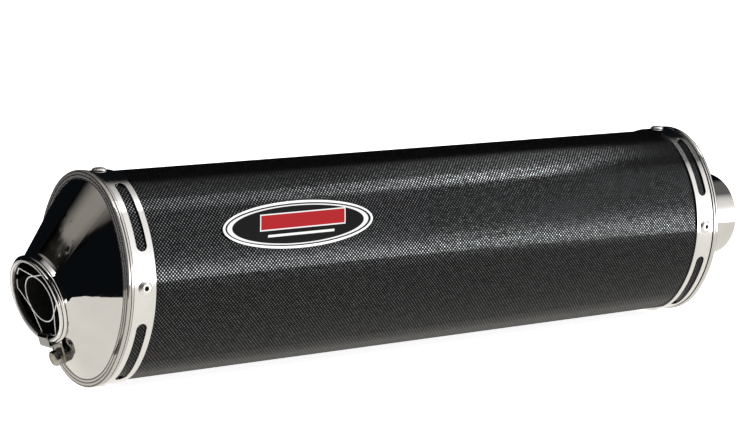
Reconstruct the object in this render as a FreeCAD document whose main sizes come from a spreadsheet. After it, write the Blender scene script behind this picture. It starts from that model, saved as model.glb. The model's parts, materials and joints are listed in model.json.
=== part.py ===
import FreeCAD, Part
import math
import os
import Sketcher

# Oval slip-on silencer for a motorcycle. Millimetres.
# Origin: centre of the inlet tube's mouth. +X points out of that mouth, so the can lies towards -X.
# +Z is up, and the badge is on the -Y side. The outlet stub tips down from the can's axis.

Vector = FreeCAD.Vector
Rotation = FreeCAD.Rotation
Placement = FreeCAD.Placement
X_AXIS = Vector(1, 0, 0)
Y_AXIS = Vector(0, 1, 0)
Z_AXIS = Vector(0, 0, 1)
NEAR = 0.02  # edges closer to a place than this are taken to be at it

# Driving dimensions: alias, value, meaning. Positions along the can are distances back from the inlet mouth.
DIMENSIONS = [
    ("sleeve_height", 120, "oval sleeve, outside height"),
    ("sleeve_width", 92, "oval sleeve, outside width"),
    ("end_radius", 38, "radius of the sleeve's top and bottom arcs"),
    ("sleeve_wall", 1.6, "carbon wall"),
    ("sleeve_near_end", 42.4, "inlet mouth to the sleeve's inlet end"),
    ("sleeve_far_end", 499.3, "inlet mouth to the sleeve's outlet end"),
    ("band_width", 14.4, "strap width along the can"),
    ("band_thickness", 1.0, "strap sheet"),
    ("band_setback", 0.6, "sleeve end to the strap's outer edge"),
    ("slot_width", 7, "strap slot width"),
    ("slot_start", 20.5, "slot's near end, along the strap from its side point"),
    ("slot_end", 64.8, "slot's far end, along the strap from its side point"),
    ("rim_height", 1.85, "how far the end rims stand proud of the sleeve"),
    ("flange_thickness", 1.2, "end ring flange"),
    ("flange_setback", 0.25, "flange edge short of the rims' edge"),
    ("sheet", 1.2, "pressed steel sheet"),
    ("fit_gap", 0.05, "gap between nested pressings"),
    ("skirt_length", 14, "end ring's skirt inside the sleeve"),
    ("bead_thickness", 2.8, "rolled rim of the cone and of the inlet cap"),
    ("bead_round", 1.1, "rounding of the rolled rims"),
    ("cone_inset", 2.7, "sleeve surface to the cone's foot"),
    ("cone_foot", 2.5, "rolled rim's inner face to the cone's foot"),
    ("neck_fillet", 5, "rounding where the cone runs into its neck"),
    ("cap_plate", 1.5, "inlet cap's plate"),
    ("bulkhead_plate", 482.2, "inlet mouth to the bulkhead plate's outlet face"),
    ("inlet_radius", 27.5, "inlet tube, outside radius"),
    ("inlet_bore", 25.5, "inlet tube, bore radius for a 50.8 mm pipe"),
    ("inlet_length", 78, "inlet tube, whole length"),
    ("inlet_collar_height", 6, "turned collar of the inlet cap"),
    ("inlet_mouth_round", 0.5, "rounding of the inlet mouth's edges"),
    ("core_radius", 25.0, "perforated core, outside radius"),
    ("core_wall", 1.2, "perforated core wall"),
    ("core_end", 484.5, "inlet mouth to the core's last end"),
    ("core_hole", 3.2, "radius of the core's perforations"),
    ("core_pitch", 22, "spacing of the rings of perforations"),
    ("wrap_radius", 28, "outside of the steel wool"),
    ("wrap_start", 79, "inlet mouth to the steel wool"),
    ("packing_start", 57, "inlet mouth to the packing"),
    ("packing_end", 480, "inlet mouth to the packing's far end"),
    ("packing_inset", 3.3, "sleeve surface to the packing"),
    ("rivet_head", 4.25, "rivet head radius"),
    ("rivet_rise", 1.6, "rivet head height"),
    ("rivet_shank", 2.4, "rivet shank radius"),
    ("rivet_bore", 1.45, "hollow left by the rivet's mandrel"),
    ("rivet_bulb", 3.7, "rivet's blind side radius"),
    ("rivet_blind", 2.4, "height of the rivet's blind side"),
    ("rivet_clear", 0.35, "gap between the clamped layers and the rivet's blind side"),
    ("rivet_edge", 0.45, "thickness of the rivet head's rim"),
    ("outlet_back", 531.7, "inlet mouth to the outlet lip's centre"),
    ("outlet_drop", 9, "can axis down to the outlet lip's centre"),
    ("outlet_tilt", 16.5, "outlet axis below the can axis, degrees"),
    ("stub_bore", 22.9, "outlet stub bore radius"),
    ("stub_wall", 1.0, "outlet stub wall"),
    ("stub_length", 26, "stub from the lip's centre inwards"),
    ("lip_round", 1.1, "radius of the lip's rolled section"),
    ("lip_height", 1.3, "centre of the lip's section, out from the lip's centre"),
    ("lip_hem", 0.3, "straight edge of the rolled lip"),
    ("lip_taper", 1.0, "length over which the rolled lip runs down to the stub"),
    ("collar_round", 1.2, "radius of the collar's section"),
    ("collar_centre", 25.2, "centre radius of the collar's section"),
    ("collar_setback", 0.6, "collar behind the lip's centre"),
    ("neck_radius", 25.6, "outside of the cone's neck"),
    ("neck_top", 2.0, "lip centre back to the neck's edge"),
    ("neck_foot", 5.0, "lip centre back to where the cone starts to widen"),
    ("vane_sheet", 0.6, "noise insert sheet"),
    ("vane_circle", 13.5, "radius of the vanes' inner arc, mid sheet"),
    ("vane_wall", 21.9, "radius of the vanes' folded ends, mid sheet"),
    ("vane_tail", 48, "half the angle of a vane's inner arc, degrees"),
    ("vane_fold", 15, "angle each folded end spans, degrees"),
    ("vane_front", 0.8, "vane front edge behind the lip's centre"),
    ("vane_back", 38.8, "vane rear edge behind the lip's centre"),
    ("vane_play", 0.05, "gap on each side of a vane in another's slot"),
    ("hook_width", 9, "hook strip width"),
    ("hook_sheet", 1.0, "hook strip thickness"),
    ("hook_bend", 0.9, "inside radius of the hook's bends"),
    ("hook_depth", 14, "lip's centre back to the end of the hook's inner leg"),
    ("hook_leg", 19.6, "outlet axis to the hook's inner leg"),
    ("hook_front", 3.9, "hook's front face beyond the lip's centre"),
    ("hook_outer", 27.8, "outlet axis to the outside of the hook's outer leg"),
    ("hook_tip", 41.2, "outlet axis to the end of the hook's tab"),
    ("tab_face", 3.8, "tab's front face behind the lip's centre"),
    ("bolt_offset", 36, "outlet axis to the bolt axis"),
    ("bolt_radius", 2.5, "M5 bolt"),
    ("bolt_length", 10, "bolt shank under the head"),
    ("bolt_point", 0.5, "chamfer at the bolt's tip"),
    ("bolt_head", 8, "hexagon across flats"),
    ("bolt_head_height", 3.0, "bolt head height"),
    ("tab_play", 0.25, "bolt to the edge of the tab's hole"),
    ("washer_play", 0.1, "bolt to the edge of a washer's hole"),
    ("thread_play", 0.08, "bolt shank to the boss's bore"),
    ("stack_gap", 0.02, "gap between the tab, the washers and the bolt head"),
    ("split_half", 0.45, "half the spring washer's split"),
    ("split_lean", 0.25, "how far the split leans from its middle at each face"),
    ("washer_radius", 5, "flat washer outside radius"),
    ("washer_thickness", 0.8, "flat washer thickness"),
    ("spring_radius", 4.4, "spring washer outside radius"),
    ("spring_thickness", 1.0, "spring washer thickness"),
    ("boss_radius", 4.7, "boss outside radius"),
    ("boss_spigot", 3.7, "radius of the boss's spigot through the cone"),
    ("boss_end", 11.6, "boss spigot's inner end behind the lip's centre"),
    ("badge_back", 381.5, "inlet mouth to the badge's centre"),
    ("badge_angle", 21.7, "badge centre above the side point, degrees round the side arc"),
    ("badge_length", 108, "badge length along the can"),
    ("badge_height", 28, "badge height round the sleeve"),
    ("badge_thickness", 0.8, "badge plate"),
    ("border_width", 1.4, "raised border of the badge"),
    ("border_rise", 0.5, "border above the plate"),
]

ALIASES = {alias for alias, value, meaning in DIMENSIONS}

doc = FreeCAD.newDocument("oval_silencer")
sheet = doc.addObject("Spreadsheet::Sheet", "sizes")
for row, (alias, value, meaning) in enumerate(DIMENSIONS, start=1):
    sheet.set(f"A{row}", alias)
    sheet.set(f"B{row}", str(value))
    sheet.setAlias(f"B{row}", alias)
    sheet.set(f"C{row}", meaning)
doc.recompute()


def size(expression):
    """A length from the sheet: an alias, or a formula of aliases written sizes.NAME."""
    if expression in ALIASES:
        expression = "sizes." + expression
    value = sheet.evalExpression(expression)
    return float(getattr(value, "Value", value))


SUBPARTS = []


def keep(part, name):
    """Label a finished sub-part with its node name and put it on the export list."""
    part.Label = name
    SUBPARTS.append(part)
    return part


# ---------------------------------------------------------------- sketches and features

def new_body(name):
    return doc.addObject("PartDesign::Body", name)


def new_sketch(body, name, plane, offset=None):
    """A sketch on one of the body's origin planes, moved along that plane's normal by a formula."""
    sketch = body.newObject("Sketcher::SketchObject", name)
    support = [item for item in body.Origin.OriginFeatures if item.Role == plane][0]
    sketch.AttachmentSupport = [(support, "")]
    sketch.MapMode = "FlatFace"
    if offset:
        sketch.setExpression("AttachmentOffset.Base.z", offset)
    return sketch


def bind(sketch, name, constraint, expression):
    """Add a driving dimension to a sketch and tie it to the sheet."""
    index = sketch.addConstraint(constraint)
    sketch.renameConstraint(index, name)
    sketch.setExpression("Constraints." + name, expression)


def add_circle(sketch, name, radius, across=None, up=None):
    """A circle of bound radius, at the sketch's origin or at bound distances from it."""
    centre = Vector(size(across) if across else 0, size(up) if up else 0, 0)
    circle = sketch.addGeometry(Part.Circle(centre, Z_AXIS, size(radius)), False)
    bind(sketch, name, Sketcher.Constraint("Radius", circle, size(radius)), radius)
    if across is None and up is None:
        sketch.addConstraint(Sketcher.Constraint("Coincident", circle, 3, -1, 1))
        return
    if across is None:
        sketch.addConstraint(Sketcher.Constraint("PointOnObject", circle, 3, -2))
    else:
        place = Sketcher.Constraint("DistanceX", -1, 1, circle, 3, centre.x)
        bind(sketch, name + "_across", place, across)
    if up is None:
        sketch.addConstraint(Sketcher.Constraint("PointOnObject", circle, 3, -1))
    else:
        place = Sketcher.Constraint("DistanceY", -1, 1, circle, 3, centre.y)
        bind(sketch, name + "_up", place, up)


def add_polygon(sketch, corners):
    """A closed outline of straight lines through corners given as pairs of formulas."""
    points = [Vector(size(across), size(up), 0) for across, up in corners]
    lines = []
    for index, point in enumerate(points):
        following = points[(index + 1) % len(points)]
        lines.append(sketch.addGeometry(Part.LineSegment(point, following), False))
    for index, line in enumerate(lines):
        following = lines[(index + 1) % len(lines)]
        sketch.addConstraint(Sketcher.Constraint("Coincident", line, 2, following, 1))
    for index, (across, up) in enumerate(corners):
        point = points[index]
        right = Sketcher.Constraint("DistanceX", -1, 1, lines[index], 1, point.x)
        bind(sketch, f"across_{index}", right, across)
        above = Sketcher.Constraint("DistanceY", -1, 1, lines[index], 1, point.y)
        bind(sketch, f"up_{index}", above, up)


def oval_numbers(offset):
    """Radii, arc centres and joint angle of the oval, moved outwards by offset."""
    half_height = size("sizes.sleeve_height / 2")
    half_width = size("sizes.sleeve_width / 2")
    end_radius = size("end_radius")
    end_centre = half_height - end_radius
    side_radius = (half_height ** 2 - 2 * half_height * end_radius + half_width ** 2)
    side_radius /= 2 * (half_width - end_radius)
    side_centre = half_width - side_radius
    joint = math.atan2(end_centre, -side_centre)
    return end_radius + offset, end_centre, side_radius + offset, side_centre, joint


SIDE_RADIUS = ("((sizes.sleeve_height / 2)^2 - sizes.sleeve_height * sizes.end_radius"
               " + (sizes.sleeve_width / 2)^2) / (sizes.sleeve_width - 2 * sizes.end_radius)")


def add_oval(sketch, name, offset):
    """The can's oval of four tangent arcs, moved outwards by a bound offset."""
    end_radius, end_centre, side_radius, side_centre, joint = oval_numbers(size(offset))
    quarter = math.pi / 2
    arcs = []
    for centre, radius, middle, half in (
            (Vector(side_centre, 0, 0), side_radius, 0, joint),
            (Vector(0, end_centre, 0), end_radius, quarter, quarter - joint),
            (Vector(-side_centre, 0, 0), side_radius, 2 * quarter, joint),
            (Vector(0, -end_centre, 0), end_radius, 3 * quarter, quarter - joint)):
        circle = Part.Circle(centre, Z_AXIS, radius)
        arcs.append(sketch.addGeometry(Part.ArcOfCircle(circle, middle - half, middle + half), False))
    right, top, left, bottom = arcs
    for arc, following in ((right, top), (top, left), (left, bottom), (bottom, right)):
        sketch.addConstraint(Sketcher.Constraint("Tangent", arc, 2, following, 1))
    for arc, label, sign in ((top, "top", 1), (bottom, "bottom", -1)):
        sketch.addConstraint(Sketcher.Constraint("PointOnObject", arc, 3, -2))
        radius = Sketcher.Constraint("Radius", arc, end_radius)
        bind(sketch, f"{name}_{label}", radius, f"sizes.end_radius + {offset}")
        centre = Sketcher.Constraint("DistanceY", -1, 1, arc, 3, sign * end_centre)
        bind(sketch, f"{name}_{label}_centre", centre,
             f"{sign} * (sizes.sleeve_height / 2 - sizes.end_radius)")
    for arc, label in ((right, "right"), (left, "left")):
        radius = Sketcher.Constraint("Radius", arc, side_radius)
        bind(sketch, f"{name}_{label}", radius, f"{SIDE_RADIUS} + {offset}")


def pad(body, name, sketch, length, reverse=False, symmetric=False):
    feature = body.newObject("PartDesign::Pad", name)
    feature.Profile = sketch
    feature.Reversed = reverse
    if symmetric:
        feature.SideType = "Symmetric"
    feature.setExpression("Length", length)
    doc.recompute()
    return feature


def pocket(body, name, sketch, length, reverse=False, symmetric=False):
    """A pocket, checked to take material away."""
    before = body.Shape.Volume
    feature = body.newObject("PartDesign::Pocket", name)
    feature.Profile = sketch
    feature.Reversed = reverse
    if symmetric:
        feature.SideType = "Symmetric"
    feature.setExpression("Length", length)
    doc.recompute()
    if body.Shape.Volume >= before:
        raise RuntimeError(f"{body.Name}: pocket {name} cut nothing")
    return feature


def revolve(body, name, sketch, axis):
    feature = body.newObject("PartDesign::Revolution", name)
    feature.Profile = sketch
    feature.ReferenceAxis = (sketch, [axis])
    feature.Angle = 360
    doc.recompute()
    return feature


def dress(body, kind, name, amount, chosen):
    """Fillet or chamfer the edges of the body's tip that chosen() accepts."""
    base = body.Tip
    edges = [f"Edge{number}" for number, edge in enumerate(base.Shape.Edges, start=1) if chosen(edge)]
    if not edges:
        raise RuntimeError(f"{body.Name}: {name} found no edge")
    feature = body.newObject("PartDesign::" + kind, name)
    feature.Base = (base, edges)
    feature.setExpression("Radius" if kind == "Fillet" else "Size", amount)
    doc.recompute()
    return feature


def flat_at(axis, *places):
    """Edge test: the whole edge lies at one of the places along the axis."""
    def test(edge):
        box = edge.BoundBox
        low = getattr(box, axis + "Min")
        high = getattr(box, axis + "Max")
        return any(abs(low - place) < NEAR and abs(high - place) < NEAR for place in places)
    return test


# ---------------------------------------------------------------- shapes by formula

def oval_wire(offset, place):
    """The oval at a distance along the can, as a wire of four arcs."""
    end_radius, end_centre, side_radius, side_centre, joint = oval_numbers(offset)
    quarter = math.pi / 2
    edges = []
    for across, up, radius, middle, half in (
            (side_centre, 0, side_radius, 0, joint),
            (0, end_centre, end_radius, quarter, quarter - joint),
            (-side_centre, 0, side_radius, 2 * quarter, joint),
            (0, -end_centre, end_radius, 3 * quarter, quarter - joint)):
        circle = Part.Circle(Vector(place, across, up), X_AXIS, radius)
        circle.XAxis = Y_AXIS
        edges.append(Part.ArcOfCircle(circle, middle - half, middle + half).toShape())
    return Part.Wire(edges)


def oval_solid(offset, start, length):
    """A solid oval bar from start towards -X."""
    return Part.Face(oval_wire(offset, start)).extrude(Vector(-length, 0, 0))


def outline_point(arc, offset):
    """Point and outward direction on the oval, an arc length up from the side point, as (Y, Z)."""
    end_radius, end_centre, side_radius, side_centre, joint = oval_numbers(offset)
    side_arc = side_radius * joint
    if arc < side_arc:
        angle = arc / side_radius
        centre = Vector(0, side_centre, 0)
        radius = side_radius
    else:
        angle = joint + (arc - side_arc) / end_radius
        centre = Vector(0, 0, end_centre)
        radius = end_radius
    outward = Vector(0, math.cos(angle), math.sin(angle))
    return centre + outward * radius, outward


def feature_of(name, shape):
    feature = doc.addObject("Part::Feature", name)
    feature.Shape = shape
    return feature


def cut(name, base, tool):
    feature = doc.addObject("Part::Cut", name)
    feature.Base = base
    feature.Tool = tool
    doc.recompute()
    return feature


def outlet_frame():
    """Frame of the outlet: origin at the lip's centre, +Z out along the outlet axis, +X up."""
    place = Vector(-size("outlet_back"), 0, -size("outlet_drop"))
    return Placement(place, Rotation(Y_AXIS, -(90 + size("outlet_tilt"))))


def put_in_outlet_frame(part, beside=None):
    """Place a sub-part in the outlet frame; beside is a bound distance down from the outlet axis."""
    drop = beside or "0"
    part.Placement = outlet_frame()
    part.setExpression("Placement.Base.x", f"-sizes.outlet_back + ({drop}) * sin(sizes.outlet_tilt)")
    part.setExpression("Placement.Base.z", f"-sizes.outlet_drop - ({drop}) * cos(sizes.outlet_tilt)")
    part.setExpression("Placement.Rotation.Angle", "-(90 + sizes.outlet_tilt)")
    doc.recompute()
    return part


# ---------------------------------------------------------------- sleeve, straps, end rings

BAND_MIDDLES = {
    "inlet": "sizes.sleeve_near_end + sizes.band_setback + sizes.band_width / 2",
    "outlet": "sizes.sleeve_far_end - sizes.band_setback - sizes.band_width / 2",
}


def drill(body, places):
    """Four rivet holes round the can at each place along it."""
    for plane, label in (("XY_Plane", "upright"), ("XZ_Plane", "sideways")):
        sketch = new_sketch(body, f"{body.Name}_{label}_holes", plane)
        for index, place in enumerate(places):
            add_circle(sketch, f"hole_{index}", "sizes.rivet_shank + sizes.fit_gap", f"-({place})", "0")
        pocket(body, f"{body.Name}_{label}_drilling", sketch, "sizes.sleeve_height * 2", symmetric=True)


def build_sleeve():
    body = new_body("sleeve_body")
    sketch = new_sketch(body, "sleeve_section", "YZ_Plane", "-sizes.sleeve_near_end")
    add_oval(sketch, "outer", "0")
    add_oval(sketch, "inner", "-sizes.sleeve_wall")
    pad(body, "sleeve_pad", sketch, "sizes.sleeve_far_end - sizes.sleeve_near_end", reverse=True)
    drill(body, BAND_MIDDLES.values())
    keep(body, "carbon_sleeve")


def slot_cutters(middle):
    """Cutting bodies for a strap's four slots: round ended, following the oval."""
    thickness = size("band_thickness")
    half = size("slot_width") / 2
    reach = 14
    spare = 1
    ring = oval_solid(thickness + spare, middle + half, 2 * half)
    ring = ring.cut(oval_solid(-spare, middle + half, 2 * half))
    cutters = []
    first, first_out = outline_point(size("slot_start") + half, thickness)
    last, last_out = outline_point(size("slot_end") - half, thickness)
    corners = [first - first_out * reach, first + first_out * reach,
               last + last_out * reach, last - last_out * reach]
    corners = [corner + Vector(middle + half, 0, 0) for corner in corners]
    wedge = Part.Face(Part.makePolygon(corners + corners[:1])).extrude(Vector(-2 * half, 0, 0))
    slot = ring.common(wedge)
    for point, outward in ((first, first_out), (last, last_out)):
        foot = point - outward * (thickness + spare) + Vector(middle, 0, 0)
        slot = slot.fuse(Part.makeCylinder(half, 2 * (thickness + spare), foot, outward))
    for turn_y, turn_z in ((1, 1), (-1, 1), (1, -1), (-1, -1)):
        copy = slot.copy()
        if turn_y < 0:
            copy = copy.mirror(Vector(0, 0, 0), Y_AXIS)
        if turn_z < 0:
            copy = copy.mirror(Vector(0, 0, 0), Z_AXIS)
        cutters.append(copy)
    return Part.Compound(cutters)


def build_band(end):
    middle = BAND_MIDDLES[end]
    body = new_body(end + "_band_body")
    sketch = new_sketch(body, end + "_band_section", "YZ_Plane", f"-({middle} - sizes.band_width / 2)")
    add_oval(sketch, "outer", "sizes.band_thickness + sizes.fit_gap")
    add_oval(sketch, "inner", "sizes.fit_gap")
    pad(body, end + "_band_pad", sketch, "sizes.band_width", reverse=True)
    drill(body, [middle])
    tool = feature_of(end + "_slot_cutters", slot_cutters(-size(middle)))
    keep(cut(end + "_band_cut", body, tool), end + "_band")


def build_end_ring(end):
    """Skirt inside the sleeve, with a thin flange that closes the sleeve's end."""
    outlet = end == "outlet"
    sleeve_end = "sizes.sleeve_far_end" if outlet else "sizes.sleeve_near_end"
    sign = "+" if outlet else "-"
    flange_inside = f"({sleeve_end} {sign} sizes.fit_gap)"
    body = new_body(end + "_ring_body")
    skirt = new_sketch(body, end + "_skirt_section", "YZ_Plane", f"-{flange_inside}")
    add_oval(skirt, "outer", "-sizes.sleeve_wall - sizes.fit_gap")
    add_oval(skirt, "inner", "-sizes.sleeve_wall - sizes.fit_gap - sizes.sheet")
    pad(body, end + "_skirt", skirt, "sizes.skirt_length", reverse=not outlet)
    flange = new_sketch(body, end + "_flange_section", "YZ_Plane", f"-{flange_inside}")
    add_oval(flange, "outer", "sizes.rim_height - sizes.flange_setback")
    add_oval(flange, "inner", "-sizes.sleeve_wall - sizes.fit_gap - sizes.sheet")
    pad(body, end + "_flange", flange, "sizes.flange_thickness", reverse=outlet)
    drill(body, [BAND_MIDDLES[end]])
    keep(body, end + "_end_ring")


def build_bulkhead():
    """Cup nested in the outlet end ring: it closes the packed chamber and carries the core's end."""
    body = new_body("bulkhead_body")
    outer = "-sizes.sleeve_wall - sizes.sheet - 2 * sizes.fit_gap"
    plate = new_sketch(body, "bulkhead_plate_section", "YZ_Plane", "-sizes.bulkhead_plate")
    add_oval(plate, "outer", outer)
    add_circle(plate, "bore", "sizes.core_radius + sizes.fit_gap")
    pad(body, "bulkhead_plate_pad", plate, "sizes.sheet")
    skirt = new_sketch(body, "bulkhead_skirt_section", "YZ_Plane", "-sizes.bulkhead_plate")
    add_oval(skirt, "outer", outer)
    add_oval(skirt, "inner", outer + " - sizes.sheet")
    pad(body, "bulkhead_skirt", skirt, "sizes.sleeve_far_end - sizes.bulkhead_plate", reverse=True)
    drill(body, [BAND_MIDDLES["outlet"]])
    keep(body, "outlet_bulkhead")


# ---------------------------------------------------------------- inlet end

def build_inlet_cap():
    """Pressed cap: rolled rim, recessed plate and a collar turned out round the inlet tube."""
    rim_inside = "(sizes.sleeve_near_end - 2 * sizes.fit_gap - sizes.flange_thickness)"
    body = new_body("inlet_cap_body")
    disc = new_sketch(body, "inlet_cap_section", "YZ_Plane", f"-{rim_inside}")
    add_oval(disc, "outer", "sizes.rim_height")
    pad(body, "inlet_cap_disc", disc, "sizes.bead_thickness")
    front = size(f"-{rim_inside} + sizes.bead_thickness")
    back = size(f"-{rim_inside}")
    dress(body, "Fillet", "inlet_cap_rim", "sizes.bead_round", flat_at("X", front, back))
    recess = new_sketch(body, "inlet_cap_recess", "YZ_Plane", f"-{rim_inside} + sizes.bead_thickness")
    add_oval(recess, "edge", "-sizes.cone_inset")
    pocket(body, "inlet_cap_pocket", recess, "sizes.bead_thickness - sizes.cap_plate")
    collar = new_sketch(body, "inlet_cap_collar", "YZ_Plane", f"-{rim_inside}")
    add_circle(collar, "outer", "sizes.inlet_radius + sizes.fit_gap + sizes.sheet")
    pad(body, "inlet_cap_collar_pad", collar, "sizes.inlet_collar_height + sizes.cap_plate")
    bore = new_sketch(body, "inlet_cap_bore", "YZ_Plane", f"-{rim_inside}")
    add_circle(bore, "bore", "sizes.inlet_radius + sizes.fit_gap")
    pocket(body, "inlet_cap_bore_pocket", bore, "sizes.sleeve_height", symmetric=True)
    keep(body, "inlet_end_cap")


def build_inlet_tube():
    body = new_body("inlet_tube_body")
    sketch = new_sketch(body, "inlet_tube_section", "YZ_Plane")
    add_circle(sketch, "outer", "sizes.inlet_radius")
    add_circle(sketch, "bore", "sizes.inlet_bore")
    pad(body, "inlet_tube_pad", sketch, "sizes.inlet_length", reverse=True)
    dress(body, "Fillet", "inlet_tube_mouth", "sizes.inlet_mouth_round", flat_at("X", 0))
    keep(body, "inlet_tube")


# ---------------------------------------------------------------- inside the can

def build_core():
    """Perforated tube: rings of round holes, every other ring turned half a step."""
    body = new_body("core_body")
    sketch = new_sketch(body, "core_section", "YZ_Plane", "-(sizes.inlet_length + sizes.fit_gap)")
    add_circle(sketch, "outer", "sizes.core_radius")
    add_circle(sketch, "bore", "sizes.core_radius - sizes.core_wall")
    pad(body, "core_pad", sketch, "sizes.core_end - sizes.inlet_length - sizes.fit_gap", reverse=True)
    holes_round = 8
    margin = 32
    step = size("core_pitch")
    radius = size("core_hole")
    reach = size("core_radius") + 1
    first = size("inlet_length") + margin
    rings = int((size("core_end") - first - margin / 2) // step) + 1
    drills = []
    for ring in range(rings):
        for hole in range(holes_round // 2):
            angle = 2 * math.pi * (hole + (ring % 2) / 2) / holes_round
            outward = Vector(0, math.cos(angle), math.sin(angle))
            foot = Vector(-first - ring * step, 0, 0) - outward * reach
            drills.append(Part.makeCylinder(radius, 2 * reach, foot, outward))
    tool = feature_of("core_drills", Part.Compound(drills))
    keep(cut("core_cut", body, tool), "perforated_core")


def build_wrap():
    body = new_body("wrap_body")
    sketch = new_sketch(body, "wrap_section", "YZ_Plane", "-sizes.wrap_start")
    add_circle(sketch, "outer", "sizes.wrap_radius")
    add_circle(sketch, "bore", "sizes.core_radius + sizes.fit_gap")
    pad(body, "wrap_pad", sketch, "sizes.packing_end - sizes.wrap_start", reverse=True)
    keep(body, "steel_wool_wrap")


def build_packing():
    body = new_body("packing_body")
    sketch = new_sketch(body, "packing_section", "YZ_Plane", "-sizes.packing_start")
    add_oval(sketch, "outer", "-sizes.packing_inset")
    add_circle(sketch, "bore", "sizes.wrap_radius + sizes.fit_gap")
    pad(body, "packing_pad", sketch, "sizes.packing_end - sizes.packing_start", reverse=True)
    keep(body, "packing_wool")


# ---------------------------------------------------------------- rivets

def rivet(layers):
    """One blind rivet, head outwards along +Z with the strap's surface at Z = 0."""
    head = size("rivet_head")
    rise = size("rivet_rise")
    shank = size("rivet_shank")
    bore = size("rivet_bore")
    bulb = size("rivet_bulb")
    blind = size("rivet_blind")
    edge = size("rivet_edge")
    seat = size("stack_gap")
    under = -layers - size("rivet_clear")
    crown = bore + 0.5
    shoulder = Vector((head + crown) / 2 + 0.35, 0, (rise + edge) / 2 + 0.2)
    side = Vector(bulb - 0.1, 0, under - blind / 2)
    profile = [
        Part.LineSegment(Vector(bore, 0, under - blind), Vector(bore, 0, rise)),
        Part.LineSegment(Vector(bore, 0, rise), Vector(crown, 0, rise)),
        Part.Arc(Vector(crown, 0, rise), shoulder, Vector(head, 0, edge)),
        Part.LineSegment(Vector(head, 0, edge), Vector(head, 0, seat)),
        Part.LineSegment(Vector(head, 0, seat), Vector(shank, 0, seat)),
        Part.LineSegment(Vector(shank, 0, seat), Vector(shank, 0, under)),
        Part.LineSegment(Vector(shank, 0, under), Vector(bulb, 0, under)),
        Part.Arc(Vector(bulb, 0, under), side, Vector(bore, 0, under - blind)),
    ]
    wire = Part.Wire([piece.toShape() for piece in profile])
    return Part.Face(wire).revolve(Vector(0, 0, 0), Z_AXIS, 360)


def build_rivets(end, layers):
    """Four rivets at the sides, top and bottom of a strap, as separate solids of one node."""
    surface = size("band_thickness") + size("fit_gap")
    half_width = size("sleeve_width") / 2 + surface
    half_height = size("sleeve_height") / 2 + surface
    middle = -size(BAND_MIDDLES[end])
    solids = []
    for outward, distance in ((Y_AXIS, half_width), (-Y_AXIS, half_width),
                              (Z_AXIS, half_height), (-Z_AXIS, half_height)):
        solid = rivet(layers)
        place = Vector(middle, 0, 0) + outward * distance
        solid.Placement = Placement(place, Rotation(Z_AXIS, outward))
        solids.append(solid)
    keep(feature_of(end + "_rivet_group", Part.Compound(solids)), end + "_rivets")


# ---------------------------------------------------------------- outlet cone and stub

def outlet_circle(radius, along):
    """A circle round the outlet axis, split where the oval's arcs meet, for a loft without twist."""
    frame = outlet_frame()
    joint = oval_numbers(0)[4]
    quarter = math.pi / 2
    edges = []
    for middle, half in ((0, joint), (quarter, quarter - joint),
                         (2 * quarter, joint), (3 * quarter, quarter - joint)):
        points = []
        for angle in (middle - half, middle, middle + half):
            local = Vector(radius * math.sin(angle), radius * math.cos(angle), along)
            points.append(frame.multVec(local))
        edges.append(Part.Arc(*points).toShape())
    return Part.Wire(edges)


def outlet_cylinder(radius, top, bottom, drop=0):
    """A cylinder along the outlet axis, or beside it, from bottom to top of the outlet frame."""
    solid = Part.makeCylinder(radius, top - bottom, Vector(-drop, 0, bottom))
    solid.Placement = outlet_frame().multiply(solid.Placement)
    return solid


def rim_face():
    """Place along the can of the inner face of the cone's rolled rim."""
    return -(size("sleeve_far_end") + size("flange_thickness") + 2 * size("fit_gap"))


def cone_outside(extra=0):
    """Outer skin of the cone as a solid, from its foot to its neck."""
    base = oval_wire(-size("cone_inset") + extra, rim_face() - size("cone_foot"))
    top = outlet_circle(size("neck_radius") + extra, -size("neck_foot"))
    return Part.makeLoft([base, top], True, True)


def cone_hollow():
    """Space inside the cone: the outside moved in by more than a sheet, since the wall is slanted."""
    sheet_thickness = size("sheet")
    foot = oval_wire(-size("cone_inset") - sheet_thickness * 1.5, rim_face() + 0.01)
    top = outlet_circle(size("neck_radius") - sheet_thickness * 1.33, -size("neck_foot") - 0.8)
    return Part.makeLoft([foot, top], True, True)


def build_cone():
    """Rolled rim, ruled cone from oval to round, and a short neck round the outlet stub."""
    neck = size("neck_radius")
    neck_foot = -size("neck_foot")
    overlap = 0.5
    rim = oval_solid(size("rim_height"), rim_face(), size("bead_thickness"))
    rim_edges = [edge for edge in rim.Edges if edge.BoundBox.XLength < NEAR]
    rim = rim.makeFillet(size("bead_round"), rim_edges)
    skin = rim.fuse(cone_outside())
    skin = skin.fuse(outlet_cylinder(neck, -size("neck_top"), neck_foot - overlap))
    skin = skin.removeSplitter()
    frame = outlet_frame().inverse()

    def round_the_neck(edge):
        local = [frame.multVec(vertex.Point) for vertex in edge.Vertexes]
        return all(abs(point.z - neck_foot) < overlap / 2 for point in local)

    skin = skin.makeFillet(size("neck_fillet"), [edge for edge in skin.Edges if round_the_neck(edge)])
    skin = skin.cut(cone_hollow())
    stub_hole = size("stub_bore") + size("stub_wall") + 2 * size("fit_gap")
    skin = skin.cut(outlet_cylinder(stub_hole, 0, neck_foot - 8 * overlap))
    boss_hole = size("boss_spigot") + size("fit_gap")
    skin = skin.cut(outlet_cylinder(boss_hole, 0, -2 * size("boss_end"), size("bolt_offset")))
    keep(feature_of("cone_shell", skin), "outlet_cone")


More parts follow.
